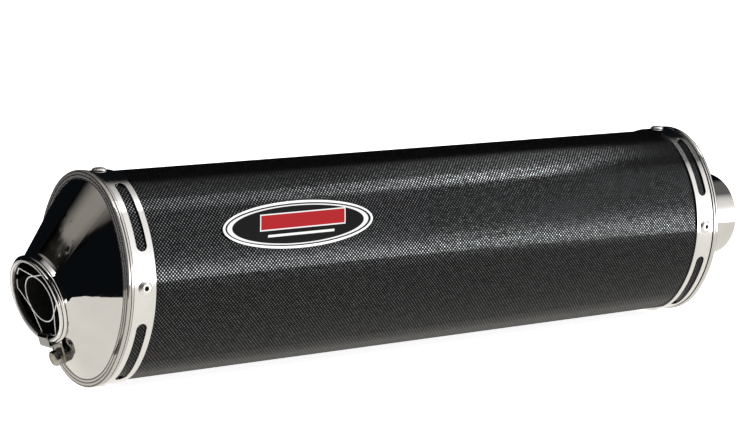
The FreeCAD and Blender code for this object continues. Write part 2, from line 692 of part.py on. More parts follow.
def build_stub():
    body = new_body("stub_body")
    sketch = new_sketch(body, "stub_section", "XZ_Plane")
    bore = size("stub_bore")
    lip = size("lip_round")
    outer = bore + size("stub_wall")
    top = size("lip_height")
    corners = [Vector(bore, -size("stub_length"), 0), Vector(bore, top, 0),
               Vector(bore + 2 * lip, top, 0), Vector(bore + 2 * lip, top - size("lip_hem"), 0),
               Vector(outer, top - size("lip_taper"), 0), Vector(outer, -size("stub_length"), 0)]
    formulas = [("sizes.stub_bore", "-sizes.stub_length"),
                ("sizes.stub_bore", "sizes.lip_height"),
                ("sizes.stub_bore + 2 * sizes.lip_round", "sizes.lip_height"),
                ("sizes.stub_bore + 2 * sizes.lip_round", "sizes.lip_height - sizes.lip_hem"),
                ("sizes.stub_bore + sizes.stub_wall", "sizes.lip_height - sizes.lip_taper"),
                ("sizes.stub_bore + sizes.stub_wall", "-sizes.stub_length")]
    crown = Part.ArcOfCircle(Part.Circle(Vector(bore + lip, top, 0), Z_AXIS, lip), 0, math.pi)
    pieces = [sketch.addGeometry(Part.LineSegment(corners[0], corners[1]), False),
              sketch.addGeometry(crown, False)]
    for index in range(2, 6):
        following = corners[(index + 1) % 6]
        pieces.append(sketch.addGeometry(Part.LineSegment(corners[index], following), False))
    sketch.addConstraint(Sketcher.Constraint("Coincident", pieces[0], 2, pieces[1], 2))
    sketch.addConstraint(Sketcher.Constraint("Coincident", pieces[1], 1, pieces[2], 1))
    for index in range(2, 6):
        following = pieces[(index + 1) % 6]
        sketch.addConstraint(Sketcher.Constraint("Coincident", pieces[index], 2, following, 1))
    for index, (across, up) in enumerate(formulas):
        piece, end = (pieces[index], 1) if index != 1 else (pieces[0], 2)
        right = Sketcher.Constraint("DistanceX", -1, 1, piece, end, corners[index].x)
        bind(sketch, f"across_{index}", right, across)
        above = Sketcher.Constraint("DistanceY", -1, 1, piece, end, corners[index].y)
        bind(sketch, f"up_{index}", above, up)
    crown_height = Sketcher.Constraint("DistanceY", -1, 1, pieces[1], 3, top)
    bind(sketch, "crown", crown_height, "sizes.lip_height")
    revolve(body, "stub_revolution", sketch, "V_Axis")
    keep(put_in_outlet_frame(body), "outlet_stub")


def build_collar():
    ring = doc.addObject("Part::Torus", "collar_ring")
    ring.setExpression("Radius1", "sizes.collar_centre")
    ring.setExpression("Radius2", "sizes.collar_round")
    put_in_outlet_frame(ring)
    ring.setExpression("Placement.Base.x",
                       "-sizes.outlet_back + sizes.collar_setback * cos(sizes.outlet_tilt)")
    ring.setExpression("Placement.Base.z",
                       "-sizes.outlet_drop + sizes.collar_setback * sin(sizes.outlet_tilt)")
    doc.recompute()
    keep(ring, "outlet_collar")


# ---------------------------------------------------------------- noise insert

def vane_face(middle, grow=0):
    """Outline of one vane across the outlet axis: arc, two straight tails and two folded ends."""
    half = size("vane_sheet") / 2 + grow
    inner = size("vane_circle")
    wall = size("vane_wall")
    fold = math.radians(size("vane_fold"))
    tail = math.radians(size("vane_tail"))

    def polar(radius, angle):
        return Vector(radius * math.cos(middle + angle), radius * math.sin(middle + angle), 0)

    def side(shift):
        """Open run of edges at a distance shift outside the sheet's middle line."""
        radius = inner + shift
        ring = wall + shift
        bend = tail + math.acos(radius / ring)
        far = bend + fold
        return [Part.Arc(polar(ring, -far), polar(ring, -(bend + far) / 2), polar(ring, -bend)),
                Part.LineSegment(polar(ring, -bend), polar(radius, -tail)),
                Part.Arc(polar(radius, -tail), polar(radius, 0), polar(radius, tail)),
                Part.LineSegment(polar(radius, tail), polar(ring, bend)),
                Part.Arc(polar(ring, bend), polar(ring, (bend + far) / 2), polar(ring, far))]

    outside = side(half)
    inside = side(-half)
    ends = [Part.LineSegment(outside[-1].EndPoint, inside[-1].EndPoint),
            Part.LineSegment(outside[0].StartPoint, inside[0].StartPoint)]
    edges = [piece.toShape() for piece in outside + inside + ends]
    return Part.Face(Part.Wire(Part.sortEdges(edges)[0]))


def vane_solid(middle, front, back, grow=0):
    face = vane_face(middle, grow)
    face.translate(Vector(0, 0, back))
    return face.extrude(Vector(0, 0, front - back))


def build_vanes():
    """Three equal vanes that interlock: each is slotted in front on one tail, behind on the other."""
    front = -size("vane_front")
    back = -size("vane_back")
    half_way = (front + back) / 2
    step = 2 * math.pi / 3
    play = size("vane_play")
    spare = 1
    turns = {"baffle_vane_lower": 0, "baffle_vane_upper": 1, "baffle_vane_far": 2}
    for name, turn in turns.items():
        middle = math.pi + turn * step
        vane = vane_solid(middle, front, back)
        ahead = vane_solid(middle + step, front + spare, half_way - play, grow=play)
        behind = vane_solid(middle - step, half_way + play, back - spare, grow=play)
        vane = vane.cut(ahead).cut(behind)
        vane = max(vane.Solids, key=lambda solid: solid.Volume)
        part = feature_of(name + "_sheet", vane)
        part.Placement = outlet_frame()
        keep(part, name)


def build_hook():
    """Strip that runs out of the stub, over the lip and down to the bolt."""
    body = new_body("hook_body")
    sketch = new_sketch(body, "hook_profile", "XZ_Plane")
    leg_out = "-(sizes.hook_leg + sizes.hook_sheet)"
    tab_back = "-(sizes.tab_face + sizes.hook_sheet)"
    add_polygon(sketch, [
        ("-sizes.hook_leg", "-sizes.hook_depth"),
        ("-sizes.hook_leg", "sizes.hook_front"),
        ("-sizes.hook_outer", "sizes.hook_front"),
        ("-sizes.hook_outer", "-sizes.tab_face"),
        ("-sizes.hook_tip", "-sizes.tab_face"),
        ("-sizes.hook_tip", tab_back),
        ("-(sizes.hook_outer - sizes.hook_sheet)", tab_back),
        ("-(sizes.hook_outer - sizes.hook_sheet)", "sizes.hook_front - sizes.hook_sheet"),
        (leg_out, "sizes.hook_front - sizes.hook_sheet"),
        (leg_out, "-sizes.hook_depth"),
    ])
    pad(body, "hook_pad", sketch, "sizes.hook_width", symmetric=True)
    outer_bends = [(-size("hook_leg"), size("hook_front")), (-size("hook_outer"), size("hook_front")),
                   (-size("sizes.hook_outer - sizes.hook_sheet"), size(tab_back))]
    inner_bends = [(size(leg_out), size("sizes.hook_front - sizes.hook_sheet")),
                   (-size("sizes.hook_outer - sizes.hook_sheet"),
                    size("sizes.hook_front - sizes.hook_sheet")),
                   (-size("hook_outer"), -size("tab_face"))]

    def across_at(places):
        def test(edge):
            box = edge.BoundBox
            return box.YLength > size("hook_width") / 2 and any(
                abs(box.XMin - x) < NEAR and abs(box.ZMin - z) < NEAR for x, z in places)
        return test

    dress(body, "Fillet", "hook_outer_bends", "sizes.hook_sheet + sizes.hook_bend", across_at(outer_bends))
    dress(body, "Fillet", "hook_inner_bends", "sizes.hook_bend", across_at(inner_bends))
    tip = -size("hook_tip")

    def tab_corner(edge):
        box = edge.BoundBox
        return abs(box.XMin - tip) < NEAR and abs(box.XMax - tip) < NEAR and box.YLength < NEAR

    dress(body, "Fillet", "hook_tab_corners", "sizes.hook_width / 2 - 0.4", tab_corner)
    hole = new_sketch(body, "hook_hole_circle", "XY_Plane")
    add_circle(hole, "hole", "sizes.bolt_radius + sizes.tab_play", "-sizes.bolt_offset", "0")
    pocket(body, "hook_hole", hole, "sizes.hook_depth", symmetric=True)
    keep(put_in_outlet_frame(body), "baffle_hook")


# ---------------------------------------------------------------- bolt, washers, boss

def stack_height(count):
    """Height of the washer stack's faces: 0 tab, 1 flat washer, 2 spring washer."""
    layers = ["-sizes.tab_face", " + sizes.washer_thickness", " + sizes.spring_thickness"]
    return "".join(layers[:count + 1])


def build_washer(name, radius, thickness, level, split=False):
    body = new_body(name + "_body")
    sketch = new_sketch(body, name + "_section", "XY_Plane", stack_height(level) + " + sizes.stack_gap / 2")
    add_circle(sketch, "outer", radius)
    add_circle(sketch, "bore", "sizes.bolt_radius + sizes.washer_play")
    pad(body, name + "_pad", sketch, thickness + " - sizes.stack_gap")
    if split:
        gap = new_sketch(body, name + "_split", "XZ_Plane")
        low = stack_height(level)
        high = stack_height(level + 1)
        add_polygon(gap, [("sizes.split_lean - sizes.split_half", low + " - 1"),
                          ("sizes.split_lean + sizes.split_half", low + " - 1"),
                          ("sizes.split_half - sizes.split_lean", high + " + 1"),
                          ("-sizes.split_half - sizes.split_lean", high + " + 1")])
        pocket(body, name + "_split_cut", gap, "sizes.washer_radius + 1")
    keep(put_in_outlet_frame(body, "sizes.bolt_offset"), name)


def build_bolt():
    """Hexagon bolt: the head stands on the spring washer and the shank points into the can."""
    body = new_body("bolt_body")
    seat = stack_height(2)
    shank = new_sketch(body, "bolt_shank_circle", "XY_Plane", seat + " + sizes.washer_play")
    add_circle(shank, "shank", "sizes.bolt_radius")
    pad(body, "bolt_shank", shank, "sizes.bolt_length + sizes.washer_play", reverse=True)
    end = size(seat) - size("bolt_length")
    dress(body, "Chamfer", "bolt_point_chamfer", "sizes.bolt_point", flat_at("Z", end))
    head = new_sketch(body, "bolt_head_outline", "XY_Plane", seat)
    corners = []
    for corner in range(6):
        angle = 60 * corner + 30
        corners.append((f"sizes.bolt_head / 2 / cos(30) * cos({angle})",
                        f"sizes.bolt_head / 2 / cos(30) * sin({angle})"))
    add_polygon(head, corners)
    pad(body, "bolt_head_pad", head, "sizes.bolt_head_height")
    # a 30 degree cone rounds off the head's corners, and a wide cylinder leaves the shank as it is
    crown_share = 0.95
    corner_share = 0.3
    crown = size("bolt_head") / 2 * crown_share
    cone_height = 6
    top = size(seat) + size("bolt_head_height")
    blank = Part.makeCone(crown + cone_height * math.sqrt(3), crown, cone_height)
    blank.translate(Vector(0, 0, top - cone_height))
    trunk_height = size("bolt_length") + cone_height
    trunk = Part.makeCylinder(size("bolt_head"), trunk_height)
    trunk.translate(Vector(0, 0, top - (1 - corner_share) * size("bolt_head_height") - trunk_height))
    trimmer = feature_of("bolt_head_trimmer", blank.fuse(trunk))
    put_in_outlet_frame(body, "sizes.bolt_offset")
    trimmer.Placement = body.Placement
    bolt = doc.addObject("Part::Common", "bolt_common")
    bolt.Base = body
    bolt.Tool = trimmer
    doc.recompute()
    keep(bolt, "hook_bolt")


def build_boss():
    """Boss welded over a hole in the cone, bored for the bolt."""
    face = -(size("tab_face") + size("hook_sheet") + size("fit_gap"))
    drop = size("bolt_offset")
    through = 2 * size("boss_end")
    weld_gap = 0.03
    outside = outlet_cylinder(size("boss_radius"), face, face - size("boss_end"), drop)
    outside = outside.cut(cone_outside(weld_gap))
    outside = max(outside.Solids, key=lambda solid: outlet_frame().inverse().multVec(solid.CenterOfMass).z)
    spigot = outlet_cylinder(size("boss_spigot"), face, -size("boss_end"), drop)
    boss = outside.fuse(spigot).removeSplitter()
    boss = boss.cut(outlet_cylinder(size("sizes.bolt_radius + sizes.thread_play"), 0, -through, drop))
    keep(feature_of("boss_solid", boss), "bolt_boss")


# ---------------------------------------------------------------- badge

def badge_prism(shrink, depth):
    """Elliptical bar through the sleeve's side, square to the surface at the badge's centre."""
    end_radius, end_centre, side_radius, side_centre, joint = oval_numbers(0)
    angle = math.radians(size("badge_angle"))
    outward = Vector(0, -math.cos(angle), math.sin(angle))
    centre = Vector(-size("badge_back"), -side_centre, 0) + outward * side_radius
    major = size("badge_length") / 2 - shrink
    minor = size("badge_height") / 2 - shrink
    ellipse = Part.Ellipse(Vector(0, 0, 0), major, minor)
    face = Part.Face(Part.Wire([ellipse.toShape()]))
    bar = face.extrude(Vector(0, 0, depth))
    up_slope = outward.cross(X_AXIS)
    matrix = FreeCAD.Matrix(1, up_slope.x, outward.x, centre.x,
                            0, up_slope.y, outward.y, centre.y - outward.y * depth / 2,
                            0, up_slope.z, outward.z, centre.z - outward.z * depth / 2,
                            0, 0, 0, 1)
    bar.Placement = Placement(matrix)
    return bar


def sleeve_shell(low, high):
    """Layer of the space outside the sleeve, between two offsets, along the badge."""
    start = -size("badge_back") + size("badge_length")
    length = 2 * size("badge_length")
    return oval_solid(high, start, length).cut(oval_solid(low, start, length))


def build_badge():
    lift = size("fit_gap")
    top = lift + size("badge_thickness")
    depth = size("badge_height")
    prism = badge_prism(0, depth)
    plate = sleeve_shell(lift, top).common(prism)
    keep(feature_of("badge_plate_solid", plate), "badge_plate")
    border = sleeve_shell(top, top + size("border_rise")).common(prism)
    border = border.cut(badge_prism(size("border_width"), depth + 1))
    keep(feature_of("badge_border_solid", border), "badge_border")


# ---------------------------------------------------------------- build, check and write

build_sleeve()
for which in ("inlet", "outlet"):
    build_band(which)
    build_end_ring(which)
single_skirt = size("band_thickness") + size("sleeve_wall") + size("sheet") + 2 * size("fit_gap")
build_rivets("inlet", single_skirt)
build_rivets("outlet", single_skirt + size("sheet") + size("fit_gap"))
build_bulkhead()
build_inlet_cap()
build_inlet_tube()
build_core()
build_wrap()
build_packing()
build_cone()
build_stub()
build_collar()
build_vanes()
build_hook()
build_washer("flat_washer", "sizes.washer_radius", "sizes.washer_thickness", 0)
build_washer("spring_washer", "sizes.spring_radius", "sizes.spring_thickness", 1, split=True)
build_bolt()
build_boss()
build_badge()
doc.recompute()

for item in doc.Objects:
    faults = [state for state in item.State if state in ("Invalid", "Error")]
    if faults:
        raise RuntimeError(f"{item.Name} is {faults}")
for part in SUBPARTS:
    if part.Shape.isNull() or not part.Shape.isValid():
        raise RuntimeError(f"{part.Label} has a bad shape")

os.makedirs("parts", exist_ok=True)
for part in SUBPARTS:
    part.Shape.exportStep(f"parts/{part.Label}.step")
    print(f"{part.Label}: {len(part.Shape.Solids)} solid(s), {part.Shape.Volume / 1000:.2f} cm3")
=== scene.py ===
import bmesh
import bpy
import json
import math
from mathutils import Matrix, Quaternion, Vector, noise


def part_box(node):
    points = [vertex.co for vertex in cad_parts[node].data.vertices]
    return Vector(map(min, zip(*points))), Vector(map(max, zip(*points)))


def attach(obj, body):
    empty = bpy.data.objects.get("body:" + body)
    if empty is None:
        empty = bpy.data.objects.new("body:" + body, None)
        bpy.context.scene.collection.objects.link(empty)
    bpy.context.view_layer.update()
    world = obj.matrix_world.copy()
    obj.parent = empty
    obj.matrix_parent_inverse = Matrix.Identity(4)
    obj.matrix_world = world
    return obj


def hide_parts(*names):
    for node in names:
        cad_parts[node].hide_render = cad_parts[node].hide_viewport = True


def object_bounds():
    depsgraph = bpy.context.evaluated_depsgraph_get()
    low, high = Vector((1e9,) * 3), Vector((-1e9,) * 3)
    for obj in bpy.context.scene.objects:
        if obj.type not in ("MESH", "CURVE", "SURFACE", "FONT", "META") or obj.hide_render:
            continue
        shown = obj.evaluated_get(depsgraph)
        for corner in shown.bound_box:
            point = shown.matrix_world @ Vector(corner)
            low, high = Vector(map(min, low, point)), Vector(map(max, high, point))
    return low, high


# Oval slip-on silencer: looks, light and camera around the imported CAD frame. Metres.
# The can lies along X with its inlet mouth at the origin, +Z is up and the badge is on the -Y side.

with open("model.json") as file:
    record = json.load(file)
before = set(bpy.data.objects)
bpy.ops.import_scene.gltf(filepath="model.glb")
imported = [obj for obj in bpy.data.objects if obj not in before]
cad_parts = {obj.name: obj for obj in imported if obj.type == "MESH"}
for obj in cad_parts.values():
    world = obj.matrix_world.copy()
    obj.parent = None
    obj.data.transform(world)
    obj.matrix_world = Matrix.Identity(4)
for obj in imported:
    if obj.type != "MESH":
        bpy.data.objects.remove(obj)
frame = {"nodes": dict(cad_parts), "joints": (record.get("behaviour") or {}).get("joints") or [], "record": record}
NODES = frame["nodes"]
cad_low, cad_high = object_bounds()

MM = 0.001
END_RADIUS = 38 * MM          # top and bottom arcs of the sleeve's oval

sleeve_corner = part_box("carbon_sleeve")[1]
HALF_WIDTH = sleeve_corner.y
HALF_HEIGHT = sleeve_corner.z
END_CENTRE = HALF_HEIGHT - END_RADIUS
SIDE_RADIUS = HALF_HEIGHT ** 2 - 2 * HALF_HEIGHT * END_RADIUS + HALF_WIDTH ** 2
SIDE_RADIUS /= 2 * (HALF_WIDTH - END_RADIUS)
SIDE_CENTRE = SIDE_RADIUS - HALF_WIDTH
ARC_JOINT = math.atan2(END_CENTRE, SIDE_CENTRE)

# the bolt's axis is parallel to the outlet's, a known distance below it
BOLT_OFFSET = 36 * MM
bolt_joint = [joint for joint in frame["joints"] if joint["name"] == "bolt_turn"][0]
OUTLET_AXIS = Vector(bolt_joint["axis"]).normalized()
OUTLET_UP = Vector((OUTLET_AXIS.z, 0, -OUTLET_AXIS.x))
LIP_CENTRE = Vector(bolt_joint["pos_m"]) + OUTLET_UP * BOLT_OFFSET
LIP_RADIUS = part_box("outlet_stub")[1].y
RIM_DEPTH = 2.8 * MM          # how far the cone's rolled rim stands in front of the pressed ring
RIM_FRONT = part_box("outlet_end_ring")[0].x - RIM_DEPTH
# the dark lines round the rim are painted shade for its hollows, and its seam
RIM_LINE_PITCH = 1.9          # millimetres between the dark lines round the rim

STEEL_EDGE = 0.12 * MM        # radius by which the edges of the steel catch the light
BADGE_EDGE = 0.15 * MM
SOOT_DEPTH = 1.8 * MM         # how much further forward the soot lies on the low far side

TOW_WIDTH = 1.15 * MM         # one tow of the woven carbon
WEAVE_DRIFT = 0.6             # the weave wanders within this share of a tow
TOW_COLOUR = (0.86, 0.90, 0.96, 1.0)
BENCH_LINE = (-0.26, -0.22)   # mirrored directions that rise less than this go to the bench
TOW_SHARE_LOW = 0.16          # how much a tow mirrors of the light from the bench
TOW_SHARE_RISE = 0.10         # and how much more of the light from above it
LACQUER_IOR = 1.17            # the scuffed lacquer is duller than clean resin
LACQUER_DROP = -0.06          # change of that index for light from above
GLANCING_LIMIT = 0.10         # the most that the lacquer mirrors

# pieces whose finish differs from the usual one of their material slot
FINISHES = {
    "outlet_stub": "outlet_steel",
    "outlet_cone": "cone_steel",
    "outlet_collar": "collar_steel_painted_shade",
    "bolt_boss": "boss_steel",
    "baffle_hook": "hook_steel_painted_shade",
}


# ---------------------------------------------------------------- shader nodes

class Graph:
    """A node tree, with short calls for the nodes that repeat."""

    def __init__(self, tree):
        self.tree = tree
        self.tree.nodes.clear()

    def node(self, kind, inputs=None, **settings):
        """A new node; an input is either a value or another node's socket to link to."""
        made = self.tree.nodes.new("ShaderNode" + kind)
        for key, value in settings.items():
            setattr(made, key, value)
        for key, value in (inputs or {}).items():
            if isinstance(value, bpy.types.NodeSocket):
                self.tree.links.new(value, made.inputs[key])
            else:
                made.inputs[key].default_value = value
        return made

    def math(self, operation, first, second=0.0, third=0.0):
        inputs = {0: first, 1: second, 2: third}
        return self.node("Math", inputs, operation=operation).outputs[0]

    def coordinates(self):
        """The rest position in the row frame, which moves with the piece."""
        return self.node("TexCoord").outputs["Object"]

    def axes(self, vector):
        """The three parts of a vector."""
        parts = self.node("SeparateXYZ", {0: vector})
        return parts.outputs[0], parts.outputs[1], parts.outputs[2]

    def step(self, value, low, high):
        """A soft step from 0 at low to 1 at high; low may be the larger."""
        inputs = {"Value": value, "From Min": low, "From Max": high}
        return self.node("MapRange", inputs, interpolation_type="SMOOTHSTEP").outputs[0]

    def span(self, value, low, high, result_low, result_high):
        """A straight ramp between two results, level past both ends."""
        inputs = {"Value": value, "From Min": low, "From Max": high,
                  "To Min": result_low, "To Max": result_high}
        return self.node("MapRange", inputs).outputs[0]

    def stretched(self, vector, scale):
        """A vector scaled along each axis, which squeezes the pattern that reads it."""
        return self.node("VectorMath", {0: vector, 1: scale}, operation="MULTIPLY").outputs[0]

    def toned(self, colour, factor):
        """A colour made lighter or darker by a factor."""
        if not isinstance(colour, bpy.types.NodeSocket):
            colour = colour[:3]
        return self.node("VectorMath", {0: colour, 1: factor}, operation="MULTIPLY").outputs[0]

    def noise(self, vector, scale, detail=3.0, roughness=0.55):
        inputs = {"Vector": vector, "Scale": scale, "Detail": detail, "Roughness": roughness}
        return self.node("TexNoise", inputs).outputs["Fac"]

    def mix(self, factor, first, second):
        """Two colours mixed."""
        inputs = {"Factor": factor, 6: first, 7: second}
        return self.node("Mix", inputs, data_type="RGBA").outputs[2]

    def bump(self, height, distance, strength=1.0, normal=None):
        inputs = {"Height": height, "Distance": distance, "Strength": strength}
        if normal:
            inputs["Normal"] = normal
        return self.node("Bump", inputs).outputs[0]

    def rounded(self, radius):
        """The normal with edges eased by a small radius."""
        return self.node("Bevel", {"Radius": radius}, samples=6).outputs[0]

    def dot(self, vector, direction):
        inputs = {0: vector, 1: direction}
        return self.node("VectorMath", inputs, operation="DOT_PRODUCT").outputs["Value"]

    def finish(self, shader, kind="Material"):
        """Hand a shader to the output of a material or of the world."""
        output = self.node("Output" + kind)
        self.tree.links.new(shader, output.inputs["Surface"])


def grey(level, warmth=0.0):
    """A neutral colour, warmer above 0 and cooler below."""
    return (level * (1 + warmth), level, level * (1 - warmth), 1.0)


def new_material(name):
    material = bpy.data.materials.new(name)
    material.use_nodes = True
    return material, Graph(material.node_tree)


# ---------------------------------------------------------------- materials

def oval_arc(graph, vector):
    """Length round the oval from its side point, positive above and negative below."""
    across, up = graph.axes(vector)[1:]
    across = graph.math("ABSOLUTE", across)
    height = graph.math("ABSOLUTE", up)
    side = graph.math("ARCTAN2", height, graph.math("ADD", across, SIDE_CENTRE))
    end = graph.math("ARCTAN2", graph.math("SUBTRACT", height, END_CENTRE), across)
    side_part = graph.math("MULTIPLY", graph.math("MINIMUM", side, ARC_JOINT), SIDE_RADIUS)
    past_joint = graph.math("MAXIMUM", graph.math("SUBTRACT", end, ARC_JOINT), 0.0)
    arc = graph.math("MULTIPLY_ADD", past_joint, END_RADIUS, side_part)
    return graph.math("MULTIPLY", arc, graph.math("SIGN", up))


def weave(graph, vector):
    """The tows' height, which cells show a tow that runs along the can, and how strongly each tow shines."""
    along = graph.math("DIVIDE", graph.axes(vector)[0], TOW_WIDTH)
    around = graph.math("DIVIDE", oval_arc(graph, vector), TOW_WIDTH)
    drift = graph.math("MULTIPLY", graph.math("SUBTRACT", graph.noise(vector, 60.0), 0.5), WEAVE_DRIFT)
    around = graph.math("ADD", around, drift)
    # plain weave: every second cell of the chequerboard shows a tow that runs along the can
    cell = graph.math("ADD", graph.math("FLOOR", along), graph.math("FLOOR", around))
    lengthwise = graph.math("MODULO", graph.math("ABSOLUTE", cell), 2.0)
    place_along = graph.math("ABSOLUTE", graph.math("SUBTRACT", graph.math("FRACT", along), 0.5))
    place_around = graph.math("ABSOLUTE", graph.math("SUBTRACT", graph.math("FRACT", around), 0.5))
    crown_along = graph.step(place_along, 0.5, 0.1)
    crown_around = graph.step(place_around, 0.5, 0.15)
    crown = graph.math("MULTIPLY", crown_along, crown_around)
    dash = graph.math("MULTIPLY", crown, lengthwise)
    # fibres within a tow, and tows that shine more or less than their neighbours
    fibre = graph.noise(graph.stretched(vector, (300.0, 9000.0, 9000.0)), 1.0, 1.0)
    tow_tone = graph.noise(graph.stretched(vector, (260.0, 700.0, 700.0)), 1.0, 1.0)
    shine = graph.math("MULTIPLY", dash, graph.span(fibre, 0.3, 0.7, 0.6, 1.0))
    shine = graph.math("MULTIPLY", shine, graph.span(tow_tone, 0.3, 0.7, 0.45, 1.45))
    return graph.math("MULTIPLY", crown, 0.5), lengthwise, shine


def carbon():
    """Plain woven carbon under a thin lacquer: tows along the can catch the light, tows round it don't."""
    material, graph = new_material("carbon_weave")
    vector = graph.coordinates()
    height, lengthwise, shine = weave(graph, vector)
    normal = graph.bump(height, 0.02 * MM, 0.5)
    black = graph.mix(lengthwise, grey(0.0015), grey(0.004))
    resin = graph.node("BsdfDiffuse", {"Color": black, "Normal": normal})
    scuffs = graph.span(graph.noise(vector, 25.0), 0.3, 0.7, 0.05, 0.09)
    gloss = graph.node("BsdfGlossy", {"Color": grey(1.0), "Roughness": scuffs, "Normal": normal},
                       distribution="GGX")
    # the tows and the lacquer answer light from above the bench otherwise than light from the bench
    mirrored = graph.node("TexCoord").outputs["Reflection"]
    above = graph.step(graph.axes(mirrored)[2], *BENCH_LINE)
    index = graph.math("MULTIPLY_ADD", above, LACQUER_DROP, LACQUER_IOR)
    fresnel = graph.node("Fresnel", {"IOR": index}).outputs[0]
    # scuffed lacquer never turns to a mirror at a glancing view
    reflected = graph.math("MINIMUM", fresnel, GLANCING_LIMIT)
    lacquer = graph.node("MixShader", {0: reflected, 1: resin.outputs[0], 2: gloss.outputs[0]})
    tows = graph.node("BsdfGlossy", {"Color": TOW_COLOUR, "Roughness": 0.13, "Normal": normal},
                      distribution="GGX")
    share = graph.math("MULTIPLY_ADD", above, TOW_SHARE_RISE, TOW_SHARE_LOW)
    amount = graph.math("MULTIPLY", shine, share)
    mixed = graph.node("MixShader", {0: amount, 1: lacquer.outputs[0], 2: tows.outputs[0]})
    graph.finish(mixed.outputs[0])
    return material


def steel(name, level, roughness, warmth=0.02, streak=(40.0, 40.0, 40.0), wear=0.15, depth=0.01,
          colour=None, matt=0.0):
    """Stainless steel: streak stretches the marks, wear varies the roughness, matt is the dull share."""
    material, graph = new_material(name)
    vector = graph.coordinates()
    marks = graph.noise(graph.stretched(vector, streak), 1.0, 4.0)
    haze = graph.noise(vector, 28.0, 4.0)
    low, high = roughness * (1 - wear), roughness * (1 + 2 * wear)
    base = colour(graph, vector) if colour else grey(level, warmth)
    tone = graph.span(haze, 0.3, 0.7, 0.92, 1.04)
    normal = graph.rounded(STEEL_EDGE)
    dull = matt(graph, vector) if callable(matt) else matt
    shader = graph.node("BsdfPrincipled", {
        "Base Color": graph.toned(base, tone),
        "Metallic": graph.math("SUBTRACT", 1.0, dull),
        "Specular IOR Level": 0.0,
        "Roughness": graph.span(graph.math("MULTIPLY", marks, haze), 0.12, 0.4, low, high),
        "Normal": graph.bump(marks, depth * MM, 1.0, normal)})
    graph.finish(shader.outputs[0])
    return material


def outlet_place(graph, vector):
    """Depth along the outlet axis, positive outwards, and distance from that axis."""
    from_lip = graph.node("VectorMath", {0: vector, 1: LIP_CENTRE}, operation="SUBTRACT").outputs[0]
    depth = graph.dot(from_lip, OUTLET_AXIS)
    across = graph.node("VectorMath", {0: from_lip, 1: OUTLET_AXIS}, operation="CROSS_PRODUCT")
    radius = graph.node("VectorMath", {0: across.outputs[0]}, operation="LENGTH").outputs["Value"]
    return depth, radius


def soot_inside(graph, vector):
    """Bright outside and blackened by exhaust inside the outlet."""
    depth, radius = outlet_place(graph, vector)
    inside = graph.step(radius, LIP_RADIUS - 1.7 * MM, LIP_RADIUS - 2.1 * MM)
    patches = graph.math("MULTIPLY", graph.math("SUBTRACT", graph.noise(vector, 90.0), 0.5), 2 * MM)
    low_far = graph.dot(vector, (0.0, 0.7, -0.7))
    heavier = graph.math("MULTIPLY", graph.step(low_far, 4 * MM, 24 * MM), SOOT_DEPTH)
    reach = graph.math("SUBTRACT", graph.math("ADD", depth, patches), heavier)
    behind = graph.step(reach, 0.8 * MM, -1.2 * MM)
    return graph.mix(graph.math("MULTIPLY", inside, behind), grey(0.74, 0.025), grey(0.03, 0.06))


def lip_matt(graph, vector):
    """The lip's crown is grained; the rest is polished."""
    depth, radius = outlet_place(graph, vector)
    crown = graph.step(radius, LIP_RADIUS - 0.3 * MM, LIP_RADIUS - 0.9 * MM)
    front = graph.step(depth, -1.8 * MM, -0.2 * MM)
    return graph.math("MULTIPLY", graph.math("MULTIPLY", crown, front), 0.35)


def collar_painted_shade(graph, vector):
    """Polished ring, with painted shade where it meets the outlet tube and along its back edge."""
    depth, radius = outlet_place(graph, vector)
    # painted shade: dark grey in the groove against the outlet tube and along the back edge next to the cone
    groove_shade = graph.step(radius, LIP_RADIUS + 0.25 * MM, LIP_RADIUS + 0.05 * MM)
    back = graph.step(depth, -0.7 * MM, -1.1 * MM)
    return graph.mix(graph.math("MAXIMUM", groove_shade, back), grey(0.74, 0.025), grey(0.05, 0.03))


def oval_distance(graph, vector):
    """Distance outside the sleeve's oval, negative inside it."""
    across, up = graph.axes(vector)[1:]
    across = graph.math("ABSOLUTE", across)
    height = graph.math("ABSOLUTE", up)

    def from_arc(y, z, radius):
        squares = graph.math("ADD", graph.math("MULTIPLY", y, y), graph.math("MULTIPLY", z, z))
        return graph.math("SUBTRACT", graph.math("SQRT", squares), radius)

    side_reach = graph.math("ADD", across, SIDE_CENTRE)
    end_reach = graph.math("SUBTRACT", height, END_CENTRE)
    turn = graph.math("ARCTAN2", height, side_reach)
    on_end = graph.math("GREATER_THAN", turn, ARC_JOINT)
    side = from_arc(side_reach, height, SIDE_RADIUS)
    end = from_arc(across, end_reach, END_RADIUS)
    return graph.math("ADD", side, graph.math("MULTIPLY", on_end, graph.math("SUBTRACT", end, side)))


def on_rim(graph, vector):
    """1 on the cone's rolled rim and 0 on the cone itself."""
    along = graph.axes(vector)[0]
    return graph.step(along, RIM_FRONT - 0.25 * MM, RIM_FRONT - 0.05 * MM)


def rim_shade_lines(graph, vector):
    """Cone steel, with dark rings round the rolled rim: painted shade for its hollows, and its seam."""
    distance = graph.math("DIVIDE", oval_distance(graph, vector), MM)
    wave = graph.math("COSINE", graph.math("MULTIPLY", distance, 2 * math.pi / RIM_LINE_PITCH))
    # painted shade: dark grey rings round the rim stand in for the shade of its hollows
    rings = graph.step(wave, -0.9, 0.3)
    rim = graph.mix(rings, grey(0.10, 0.05), grey(0.50, 0.05))
    return graph.mix(on_rim(graph, vector), grey(0.66, 0.015), rim)


def rim_matt(graph, vector):
    """The rolled rim is slightly dull."""
    return graph.math("MULTIPLY", on_rim(graph, vector), 0.16)


